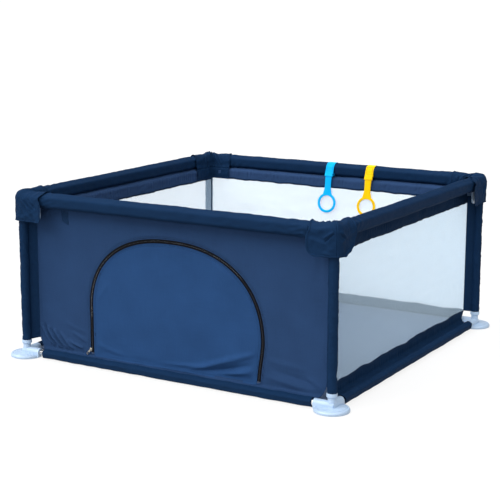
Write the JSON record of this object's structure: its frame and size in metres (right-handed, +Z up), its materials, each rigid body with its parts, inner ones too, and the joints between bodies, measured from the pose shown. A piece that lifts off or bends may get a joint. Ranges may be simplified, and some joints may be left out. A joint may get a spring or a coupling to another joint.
{
  "type": "travel play yard",
  "caption": "Square knock-down play yard: tube frame on disc feet, padded top rails, mesh walls, a fabric front with a zipped arched door, and hanging pull rings.",
  "frame": {"origin": "on the floor, at the centre of the square footprint", "axes": "+Z up; the fabric front with the zipped door faces -Y, and +X is to the right of somebody looking at it"},
  "size_m": [1.49, 1.49, 0.667],
  "materials": {
    "ice_plastic": "moulded, pale icy blue, soft gloss",
    "grip_rubber": "matt",
    "steel": "plated tube, bright",
    "foam": "soft foam tube",
    "navy_fabric": "woven polyester, matt with a faint sheen",
    "panel_fabric": "woven polyester, matt with a faint sheen",
    "mesh_fabric": "see-through knitted mesh with navy bands above and below",
    "floor_fabric": "coated woven polyester",
    "zip_tape": "black woven tape with a nylon coil",
    "zip_metal": "dark nickel",
    "blue_plastic": "moulded",
    "yellow_plastic": "moulded",
    "blue_webbing": "woven webbing",
    "yellow_webbing": "woven webbing"
  },
  "bodies": {
    "frame": {"foot_front_left": "ice_plastic", "foot_front_right": "ice_plastic", "foot_back_right": "ice_plastic", "foot_back_left": "ice_plastic", "foot_pad_front_left": "grip_rubber", "foot_pad_front_right": "grip_rubber", "foot_pad_back_right": "grip_rubber", "foot_pad_back_left": "grip_rubber", "post_front_left": "steel", "post_front_right": "steel", "post_back_right": "steel", "post_back_left": "steel", "post_sleeve_front_left": "navy_fabric", "post_sleeve_front_right": "navy_fabric", "post_sleeve_back_right": "navy_fabric", "post_sleeve_back_left": "navy_fabric", "top_corner_front_left": "ice_plastic", "top_corner_front_right": "ice_plastic", "top_corner_back_right": "ice_plastic", "top_corner_back_left": "ice_plastic", "corner_cap_front_left": "navy_fabric", "corner_cap_front_right": "navy_fabric", "corner_cap_back_right": "navy_fabric", "corner_cap_back_left": "navy_fabric", "bottom_rail_front": "steel", "bottom_rail_right": "steel", "bottom_rail_back": "steel", "bottom_rail_left": "steel", "bottom_sleeve_front": "navy_fabric", "bottom_sleeve_right": "navy_fabric", "bottom_sleeve_back": "navy_fabric", "bottom_sleeve_left": "navy_fabric", "top_rail_front": "steel", "top_rail_right": "steel", "top_rail_back": "steel", "top_rail_left": "steel", "top_foam_front": "foam", "top_foam_right": "foam", "top_foam_back": "foam", "top_foam_left": "foam", "top_cover_front": "navy_fabric", "top_cover_right": "navy_fabric", "top_cover_back": "navy_fabric", "top_cover_left": "navy_fabric", "mesh_wall_right": "mesh_fabric", "mesh_wall_back": "mesh_fabric", "mesh_wall_left": "mesh_fabric", "front_panel": "panel_fabric", "floor_sheet": "floor_fabric", "zip_tape_frame": "zip_tape"},
    "door": {"door_flap": "panel_fabric", "zip_tape_door": "zip_tape"},
    "slider": {"zip_slider": "zip_metal"},
    "pull_tab": {"zip_pull": "zip_metal"},
    "strap_blue": {"ring_strap_blue": "blue_webbing"},
    "strap_yellow": {"ring_strap_yellow": "yellow_webbing"},
    "ring_blue": {"pull_ring_blue": "blue_plastic"},
    "ring_yellow": {"pull_ring_yellow": "yellow_plastic"}
  },
  "joints": [
    {"name": "door_fold", "type": "hinge", "parent": "frame", "child": "door", "pos_m": [0, -0.643, 0.047], "axis": [1, 0, 0], "range_deg": [0, 90]},
    {"name": "zip_travel", "type": "slide", "parent": "frame", "child": "slider", "axis": [0, 0, 1], "range_m": [0, 0.14]},
    {"name": "zip_pull_swing", "type": "hinge", "parent": "slider", "child": "pull_tab", "pos_m": [-0.3872, -0.65, 0.058], "axis": [-1, 0, 0], "range_deg": [0, 150]},
    {"name": "strap_swing_blue", "type": "hinge", "parent": "frame", "child": "strap_blue", "pos_m": [-0.019, 0.68, 0.635], "axis": [-1, 0, 0], "range_deg": [0, 60]},
    {"name": "ring_swing_blue", "type": "hinge", "parent": "strap_blue", "child": "ring_blue", "pos_m": [-0.019, 0.63792, 0.608], "axis": [-1, 0, 0], "range_deg": [0, 20]},
    {"name": "strap_swing_yellow", "type": "hinge", "parent": "frame", "child": "strap_yellow", "pos_m": [0.177, 0.68, 0.635], "axis": [-1, 0, 0], "range_deg": [0, 60]},
    {"name": "ring_swing_yellow", "type": "hinge", "parent": "strap_yellow", "child": "ring_yellow", "pos_m": [0.177, 0.63792, 0.608], "axis": [-1, 0, 0], "range_deg": [0, 20]}
  ]
}
